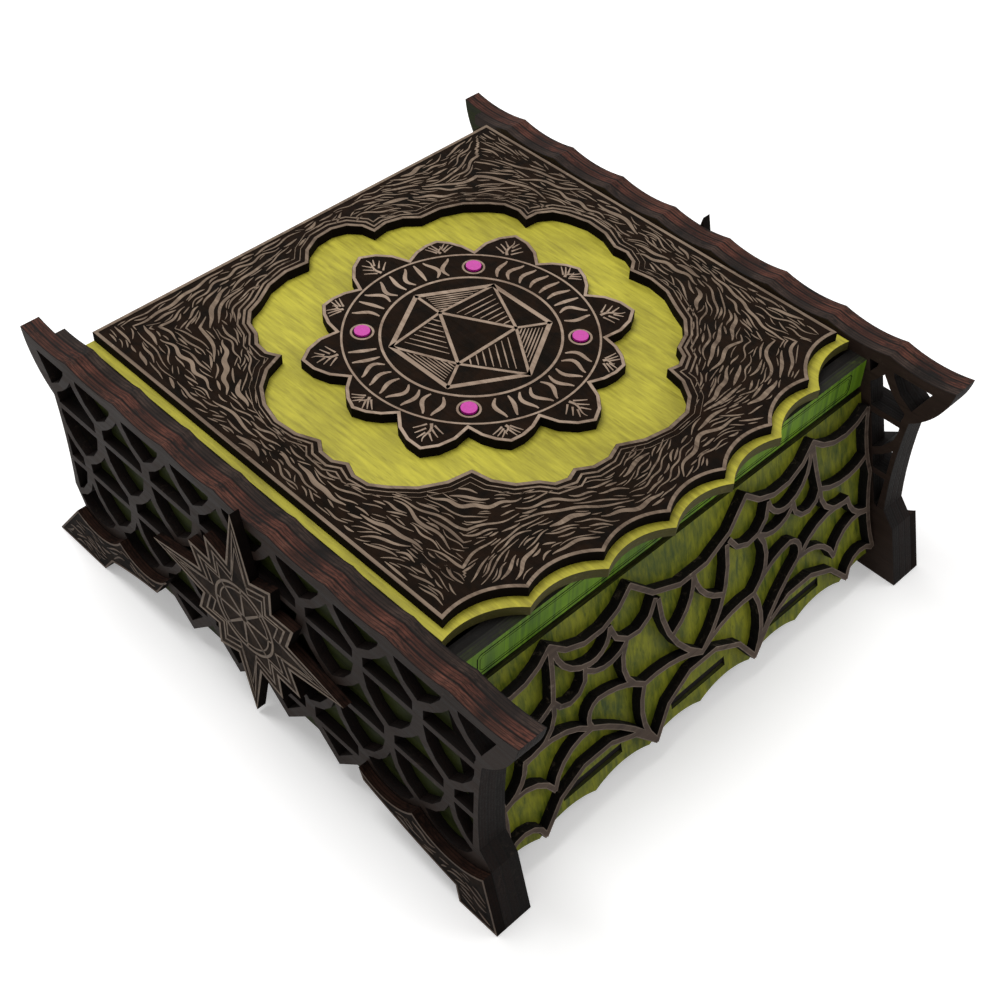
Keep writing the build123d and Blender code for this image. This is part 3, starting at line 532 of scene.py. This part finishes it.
class Lines:
    """Collects raised lines on plates and turns them into one mesh."""

    def __init__(self):
        self.points = []
        self.faces = []

    def strip(self, plate, left, right, height=RAISED, closed=False):
        """A raised strip between two rows of points, closed below the surface."""
        base = len(self.points)
        count = len(left)
        foot = height - LINE_DEPTH
        for a, b in zip(left, right):
            for point, level in ((a, height), (b, height), (b, foot), (a, foot)):
                self.points.append(plate.place(point, level))
        for i in range(count if closed else count - 1):
            here = base + 4 * i
            after = base + 4 * ((i + 1) % count)
            for k in range(4):
                m = (k + 1) % 4
                self.faces.append((here + k, after + k, after + m, here + m))
        if not closed:
            self.faces.append((base, base + 1, base + 2, base + 3))
            last = base + 4 * (count - 1)
            self.faces.append((last + 3, last + 2, last + 1, last))

    def stroke(self, plate, points, widths, height=RAISED, closed=False):
        """A raised line along points, with its own width at each of them."""
        left, right = [], []
        count = len(points)
        for i, (x, y) in enumerate(points):
            before = points[i - 1] if closed or i else points[0]
            after = points[(i + 1) % count] if closed or i < count - 1 else points[-1]
            dx, dy = after[0] - before[0], after[1] - before[1]
            span = math.hypot(dx, dy) or 1.0
            half = widths[i] / 2 if isinstance(widths, list) else widths / 2
            left.append((x - dy / span * half, y + dx / span * half))
            right.append((x + dy / span * half, y - dx / span * half))
        self.strip(plate, left, right, height, closed)

    def make(self, name, material, body):
        mesh = bpy.data.meshes.new(name)
        mesh.from_pydata([tuple(p) for p in self.points], [], self.faces)
        mesh.update()
        mesh.materials.append(material)
        obj = bpy.data.objects.new(name, mesh)
        bpy.context.scene.collection.objects.link(obj)
        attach(obj, body)


def sides(loop):
    """Each point of a loop with the next one."""
    return zip(loop, loop[1:] + loop[:1])


def face_loops(node, plate):
    """Edge loops of a node's face on the plate, as plate points, with the wood on their left."""
    mesh = NODES[node].data
    edges = {}
    for polygon in mesh.polygons:
        corners = [plate.flat(mesh.vertices[index].co) for index in polygon.vertices]
        if any(abs(height) > ON_PLATE for _, _, height in corners):
            continue
        ring = [(round(x, 3), round(y, 3)) for x, y, _ in corners]
        if sum(a[0] * b[1] - b[0] * a[1] for a, b in sides(ring)) < 0:
            ring.reverse()
        for edge in sides(ring):
            edges[edge] = True
    border = {a: b for a, b in edges if (b, a) not in edges}
    loops = []
    while border:
        start, here = border.popitem()
        loop = [start]
        while here != start and here in border:
            loop.append(here)
            here = border.pop(here)
        if len(loop) > 2:
            loops.append(loop)
    return loops


def engrave(node, plate, material):
    """Stands in for a side piece with a copy whose outer face is cut away by the engraving."""
    source = NODES[node]
    mesh = source.data.copy()
    for vertex in mesh.vertices:
        if plate.flat(vertex.co)[2] > -ON_PLATE:
            vertex.co -= plate.n * ENGRAVED * MM
    mesh.materials.clear()
    mesh.materials.append(material)
    obj = bpy.data.objects.new(node + "_engraved", mesh)
    obj.matrix_world = source.matrix_world
    bpy.context.scene.collection.objects.link(obj)
    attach(obj, "chest_body")
    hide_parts(node)


def inset_loop(loop, distance):
    """The loop moved to its left by a distance, with blunted corners."""
    sharpest = 0.45
    moved = []
    count = len(loop)
    for i, (x, y) in enumerate(loop):
        ax, ay = loop[i - 1]
        bx, by = loop[(i + 1) % count]
        before = Vector((x - ax, y - ay))
        after = Vector((bx - x, by - y))
        if before.length < TINY or after.length < TINY:
            moved.append((x, y))
            continue
        before.normalize()
        after.normalize()
        left = Vector((-before.y, before.x))
        n = Vector((-before.y - after.y, before.x + after.x))
        if n.length < TINY:
            n = left.copy()
        n.normalize()
        stretch = distance / max(sharpest, n.dot(left))
        moved.append((x + n.x * stretch, y + n.y * stretch))
    return moved


def rim(lines, node, plate, start, width, height=RAISED, shortest=0.0):
    """Raised border just inside every edge of a node's face that is long enough."""
    for loop in face_loops(node, plate):
        if sum(math.dist(a, b) for a, b in sides(loop)) > shortest:
            inner, outer = inset_loop(loop, start + width), inset_loop(loop, start)
            lines.strip(plate, inner, outer, height, closed=True)


class Ground:
    """Marks which parts of a drawing are taken, so that lines keep apart."""

    def __init__(self, cell=0.4):
        self.cell = cell
        self.taken = set()

    def spots(self, x, y, radius):
        reach_cells = int(radius / self.cell) + 1
        cx, cy = round(x / self.cell), round(y / self.cell)
        for i in range(-reach_cells, reach_cells + 1):
            for j in range(-reach_cells, reach_cells + 1):
                if math.hypot(i, j) * self.cell <= radius:
                    yield cx + i, cy + j

    def free(self, x, y, radius):
        return not any(spot in self.taken for spot in self.spots(x, y, radius))

    def take(self, x, y, radius):
        self.taken.update(self.spots(x, y, radius))


def inside_loops(loops, x, y):
    """Whether a point lies on the wood: inside an odd number of loops."""
    inside = False
    for loop in loops:
        for (x1, y1), (x2, y2) in sides(loop):
            if (y1 > y) != (y2 > y) and x < (x2 - x1) * (y - y1) / (y2 - y1) + x1:
                inside = not inside
    return inside


def edge_band(loops, ground, distance):
    """Takes the ground within a distance of the loops."""
    pace = 0.6
    for loop in loops:
        for a, b in sides(loop):
            steps = max(1, int(math.dist(a, b) / pace))
            for i in range(steps):
                t = i / steps
                ground.take(a[0] + (b[0] - a[0]) * t, a[1] + (b[1] - a[1]) * t, distance)


def bark_strokes(lines, plate, loops, ground, flow, dice,
                 tries, widths, lengths, gap, height=RAISED):
    """Tapered wavy strokes along a flow, each kept clear of the others."""
    step = 0.9             # mm between a stroke's points
    fewest_points = 5
    slenderness = 6        # a stroke is at least this many times as long as wide
    xs = [p[0] for p in loops[0]]
    ys = [p[1] for p in loops[0]]
    low_x, high_x, low_y, high_y = min(xs), max(xs), min(ys), max(ys)
    for _ in range(tries):
        x, y = dice.uniform(low_x, high_x), dice.uniform(low_y, high_y)
        width = dice.uniform(*widths)
        length = dice.uniform(*lengths)
        wave = dice.uniform(0.08, 0.42)
        phase = dice.uniform(0, 6.28)
        pace = dice.uniform(0.25, 0.6)
        turn = dice.uniform(-0.25, 0.25) + (math.pi if dice.random() < 0.5 else 0)
        if not inside_loops(loops, x, y):
            continue
        points = []
        for i in range(int(length / step)):
            if not ground.free(x, y, width / 2 + gap):
                break
            points.append((x, y))
            heading = flow(x, y) + turn + wave * math.sin(phase + i * pace)
            x += step * math.cos(heading)
            y += step * math.sin(heading)
        if len(points) < fewest_points or step * len(points) < slenderness * width:
            continue
        count = len(points) - 1
        profile = []
        for i in range(count + 1):
            fullness = math.sin(math.pi * (0.04 + 0.92 * i / count)) ** 0.8
            profile.append(width * max(0.12, fullness))
        lines.stroke(plate, points, profile, height)
        for point, w in zip(points, profile):
            ground.take(*point, w / 2)


def turned(radius, degrees, centre=(0.0, 0.0)):
    """The point at a radius and an angle round a centre."""
    angle = math.radians(degrees)
    return centre[0] + radius * math.cos(angle), centre[1] + radius * math.sin(angle)


def circle(radius, centre=(0.0, 0.0), points=120):
    return [turned(radius, 360 / points * k, centre) for k in range(points)]


def between(a, b, t):
    return a[0] + (b[0] - a[0]) * t, a[1] + (b[1] - a[1]) * t


# ------------------------------------------------------------------ lines on each board
MIDDLE = (0.0, 12.0)        # of the lid's window and its medallion
WINDOW_REACH = 84           # strokes follow the window this near to its middle,
WINDOW_FADE = 30            # and the board's sides this much further out
BARK = (                    # tries, line widths, lengths and gap, coarse strokes first
    (420, (1.1, 2.1), (24, 70), 0.7),
    (4200, (0.6, 1.0), (12, 44), 0.55),
    (7500, (0.38, 0.58), (5, 20), 0.45),
)


def bark_flow(x, y):
    """Stroke direction: round the window close to it, along the nearest side further out."""
    away = y - MIDDLE[1]
    around = math.atan2(away, x - MIDDLE[0]) + math.pi / 2
    side = 0.0 if abs(away) > abs(x) else math.pi / 2
    far = min(1.0, max(0.0, (math.hypot(x, away) - WINDOW_REACH) / WINDOW_FADE))
    vx = (1 - far) * math.cos(2 * around) + far * math.cos(2 * side)
    vy = (1 - far) * math.sin(2 * around) + far * math.sin(2 * side)
    swirl = 0.5 * math.sin(x * 0.09 + 1.3) * math.cos(y * 0.075)
    return 0.5 * math.atan2(vy, vx) + swirl


def lid_lines():
    """Raised bark strokes and borders on the lid's brown board."""
    dice = random.Random(11)
    lines = Lines()
    loops = face_loops("lid_frame", LID_PLATE)
    loops.sort(key=lambda loop: -max(abs(p[0]) for p in loop))
    rim(lines, "lid_frame", LID_PLATE, start=0.15, width=1.3)
    ground = Ground()
    edge_band(loops, ground, distance=2.2)
    window = loops[1]
    for offset, width in ((3.1, 0.8), (5.2, 0.6)):
        path = [(x + 0.5 * math.sin(0.8 * i), y + 0.5 * math.cos(0.7 * i))
                for i, (x, y) in enumerate(inset_loop(window, offset))]
        if all(inside_loops(loops, *p) for p in path):
            widths = [width * (0.7 + 0.5 * math.sin(0.5 * i)) for i in range(len(path))]
            lines.stroke(LID_PLATE, path, widths, closed=True)
            for point in path:
                ground.take(*point, width)
    for tries, widths, lengths, gap in BARK:
        bark_strokes(lines, LID_PLATE, loops, ground, bark_flow, dice, tries, widths, lengths, gap)
    lines.make("lid_frame_lines", M["raised lid"], "lid")


DIE_CORNER = 30             # radius of the die's six outer corners
DIE_FACE = 17               # radius of the three corners of its front face
RINGS = ((33.5, 1.0), (47.5, 0.8))    # radius and line width
DASHES = 48                 # short strokes between the rings
DASH_START = 35.4
SPOT = 40                   # radius of the four inlays' middles
SPOT_RING = 4.1
LEAVES = 12
LEAF_START = 49.5
LEAF_TIPS = (63.0, 58.0)    # long and short leaves by turns
LEAF_MARGIN = 4.0           # left free at a leaf's tip


def hatch(lines, apex, left, right, rows=8):
    """Fine lines across one facet, side by side from its base towards its apex."""
    for row in range(1, rows):
        t = 0.06 + 0.86 * row / rows
        a, b = between(left, apex, t), between(right, apex, t)
        inset = 0.09 + 0.05 * t
        lines.stroke(LID_PLATE, [between(a, b, f) for f in (inset, 0.5, 1 - inset)],
                     [0.25, 0.62, 0.25])


def die_lines(lines):
    """A twenty-sided die seen square to its front face, with some facets hatched."""

    def edge(a, b, width):
        past = 0.3 * width / math.dist(a, b)
        lines.stroke(LID_PLATE, [between(a, b, -past), between(a, b, 1 + past)], width)

    corners = [turned(DIE_CORNER, 30 + 60 * k, MIDDLE) for k in range(6)]
    face = [turned(DIE_FACE, 90 + 120 * k, MIDDLE) for k in range(3)]
    for k in range(6):
        edge(corners[k], corners[(k + 1) % 6], 1.8)
    for k in range(3):
        nearest = 90 + 120 * k
        edge(face[k], face[(k + 1) % 3], 1.3)
        for way in (0, -60, 60):
            edge(face[k], turned(DIE_CORNER, nearest + way, MIDDLE), 1.1)
    for k in range(3):
        nearest = 90 + 120 * k
        last, here, after = [turned(DIE_CORNER, nearest + way, MIDDLE) for way in (-60, 0, 60)]
        hatch(lines, face[k], last, here)
        hatch(lines, face[k], face[(k + 1) % 3], after)


def medallion_lines():
    """A twenty-sided die in a ring of veined leaves."""
    dice = random.Random(5)
    lines = Lines()
    rim(lines, "lid_medallion", LID_PLATE, start=0.15, width=1.2, shortest=60)
    die_lines(lines)
    for radius, width in RINGS:
        lines.stroke(LID_PLATE, circle(radius, MIDDLE), width, closed=True)
    for k in range(DASHES):
        degrees = 360 / DASHES * k
        if min(abs((degrees - 45 - 90 * q + 180) % 360 - 180) for q in range(4)) < 8:
            continue
        bend = dice.uniform(-3, 3)
        points = [turned(DASH_START + 1.15 * i, degrees + bend * math.sin(i * 0.5), MIDDLE)
                  for i in range(10)]
        widths = [0.35 + 1.3 * math.sin(math.pi * (i + 0.5) / 10) for i in range(10)]
        lines.stroke(LID_PLATE, points, widths)
    for k in range(LEAVES):
        degrees = 90 + 360 / LEAVES * k
        length = LEAF_TIPS[k % 2] - LEAF_MARGIN - LEAF_START
        points = [turned(LEAF_START + length * i / 8, degrees + 0.8 * math.sin(i * 0.7), MIDDLE)
                  for i in range(9)]
        lines.stroke(LID_PLATE, points, [1.2 - 0.12 * i for i in range(9)])
        for side in (-1, 1):
            for row in range(3):
                start = LEAF_START + 0.3 + length * (0.04 + 0.22 * row)
                slant = side * (6.4 - 1.7 * row)
                vein = [turned(start + 0.85 * i, degrees + slant * (0.25 + i / 6.0), MIDDLE)
                        for i in range(5)]
                lines.stroke(LID_PLATE, vein, [0.8 - 0.12 * i for i in range(5)])
    for q in range(4):
        spot = turned(SPOT, 45 + 90 * q, MIDDLE)
        lines.stroke(LID_PLATE, circle(SPOT_RING, spot, points=24), 0.8, closed=True)
    lines.make("lid_medallion_lines", M["raised medallion"], "lid")


def star_lines():
    """Border, two inner zigzags and a wheel of eight spokes on each star."""
    spokes = 8
    for name, plate in SIDE_PLATES.items():
        lines = Lines()
        star = "star_" + name
        rim(lines, star, plate, start=0.02, width=1.1, height=FLUSH)
        loop = max(face_loops(star, plate), key=len)
        smaller = [(x * 0.70, y * 0.70) for x, y in loop]
        for zigzag, width in ((inset_loop(loop, 3.2), 0.8), (smaller, 0.6)):
            lines.strip(plate, inset_loop(zigzag, width), zigzag, FLUSH, closed=True)
        for radius, width in ((15.7, 1.1), (13.2, 0.6)):
            lines.stroke(plate, circle(radius, points=72), width, FLUSH, closed=True)
        for k in range(spokes):
            ray = [turned(1.5 + 14 * i / 6, 360 / spokes * k) for i in range(7)]
            lines.stroke(plate, ray, [1.3 - 0.1 * i for i in range(7)], FLUSH)
        lines.make("star_lines_" + name, M["raised star"], "chest_body")
        engrave(star, plate, M["engraved star"])


def foot_flow(x, y):
    return 0.5 * math.sin(0.2 * x)


def foot_lines():
    """Worn rim and rocky strokes on the outer face of each foot."""
    dice = random.Random(23)
    for side, plate in SIDE_PLATES.items():
        lines = Lines()
        for foot in ("front_foot_" + side, "back_foot_" + side):
            rim(lines, foot, plate, start=0.02, width=0.8, height=FLUSH)
            loops = sorted(face_loops(foot, plate), key=len, reverse=True)
            ground = Ground()
            edge_band(loops, ground, distance=1.2)
            bark_strokes(lines, plate, loops, ground, foot_flow, dice, tries=900,
                         widths=(0.5, 1.3), lengths=(4, 16), gap=0.6, height=FLUSH)
            engrave(foot, plate, M["engraved foot"])
        lines.make("foot_lines_" + side, M["raised foot"], "chest_body")


def web_lines():
    """Pale rim along both edges of the web's strands."""
    lines = Lines()
    rim(lines, "web_screen", WEB_PLATE, start=0.05, width=0.3, height=0.05)
    lines.make("web_rim_lines", M["raised web"], "drawer")


def header_lines():
    """Thin burnt border on the bare strip above the drawer."""
    half, bottom, top = 98.0, 84.8, 97.4
    cut = 1.2              # how much is cut from each corner
    lines = Lines()
    for inset, width in ((1.6, 0.5), (2.8, 0.25)):
        x, low, high = half - inset, bottom + inset, top - inset
        path = [(-x, low + cut), (-x + cut, low), (x - cut, low), (x, low + cut),
                (x, high - cut), (x - cut, high), (-x + cut, high), (-x, high - cut)]
        lines.stroke(HEADER_PLATE, path, width, height=0.03, closed=True)
    lines.make("header_border_lines", M["burnt line"], "chest_body")


# ------------------------------------------------------------------ studio
FLOOR_HALF = 6.0     # m
GLOW_START = 0.45    # from this far out, in m, the floor fades
GLOW_FULL = 1.4      # into the white surroundings, and is white from here on


def studio_floor():
    """Pale floor that keeps the shadows and fades to white far out."""
    h = FLOOR_HALF
    mesh = bpy.data.meshes.new("studio_floor")
    mesh.from_pydata([(-h, -h, 0), (h, -h, 0), (h, h, 0), (-h, h, 0)], [], [(0, 1, 2, 3)])
    floor = bpy.data.objects.new("studio_floor", mesh)
    bpy.context.scene.collection.objects.link(floor)
    floor.location.z = -0.0002
    material, tree, shader = new_material("Studio floor")
    shader.inputs["Base Color"].default_value = (0.92, 0.92, 0.92, 1)
    shader.inputs["Roughness"].default_value = 0.9
    shader.inputs["Emission Color"].default_value = (1, 1, 1, 1)
    seen = tree.add("ShaderNodeLightPath").outputs["Is Camera Ray"]
    glow = tree.spread(tree.length(tree.place()), GLOW_START, GLOW_FULL, 0.3, 1.0)
    tree.feed(shader.inputs["Emission Strength"], tree.math("MULTIPLY", seen, glow))
    mesh.materials.append(material)


def surroundings():
    """Soft even light that looks plain white to the camera, in glass and in gloss."""
    world = bpy.data.worlds.new("Studio")
    bpy.context.scene.world = world
    world.use_nodes = True
    world.node_tree.nodes.clear()
    tree = Tree(world.node_tree)
    ray = tree.add("ShaderNodeLightPath").outputs
    seen = tree.math("MAXIMUM", ray["Is Camera Ray"], ray["Is Transmission Ray"])
    seen = tree.math("MAXIMUM", seen, ray["Is Glossy Ray"])
    soft = tree.add("ShaderNodeBackground", {"Color": (1.0, 0.98, 0.96, 1), "Strength": 0.4})
    white = tree.add("ShaderNodeBackground", {"Color": (1, 1, 1, 1), "Strength": 1.0})
    mixed = tree.add("ShaderNodeMixShader", {0: seen, 1: soft.outputs[0], 2: white.outputs[0]})
    end = tree.add("ShaderNodeOutputWorld")
    tree.feed(end.inputs["Surface"], mixed.outputs[0])


def lamp(name, place, size, power):
    """A square soft lamp, in m and W, that points at the chest."""
    light = bpy.data.lights.new(name, "AREA")
    light.size = size
    light.energy = power
    obj = bpy.data.objects.new(name, light)
    obj.location = place
    aim = Vector((0, 0, 0.05)) - Vector(place)
    obj.rotation_euler = aim.to_track_quat("-Z", "Y").to_euler()
    bpy.context.scene.collection.objects.link(obj)


def photo_camera():
    """Camera at the photograph's angle and distance."""
    data = bpy.data.cameras.new("photo_camera")
    data.sensor_fit = "HORIZONTAL"
    data.sensor_width = 36.0
    data.lens = 57.0
    data.clip_start = 0.01
    camera = bpy.data.objects.new("photo_camera", data)
    right = (0.71275928, -0.70101555, 0.02348211)
    down = (-0.49477581, -0.52623046, -0.69157675)
    ahead = (0.49716306, 0.48130936, -0.72192118)
    place = (-0.31093, -0.30647, 0.48339)
    rows = [[right[i], -down[i], -ahead[i], place[i]] for i in range(3)] + [[0, 0, 0, 1]]
    camera.matrix_world = Matrix(rows)
    bpy.context.scene.collection.objects.link(camera)
    bpy.context.scene.camera = camera


dress_boards()
lid_lines()
medallion_lines()
star_lines()
foot_lines()
web_lines()
header_lines()
studio_floor()
surroundings()
lamp("key_lamp", (-0.1, 0.4, 1.3), size=0.7, power=12.2)
lamp("fill_lamp", (0.9, -0.8, 0.9), size=0.9, power=4.4)
photo_camera()
bpy.context.scene.view_settings.view_transform = "Standard"
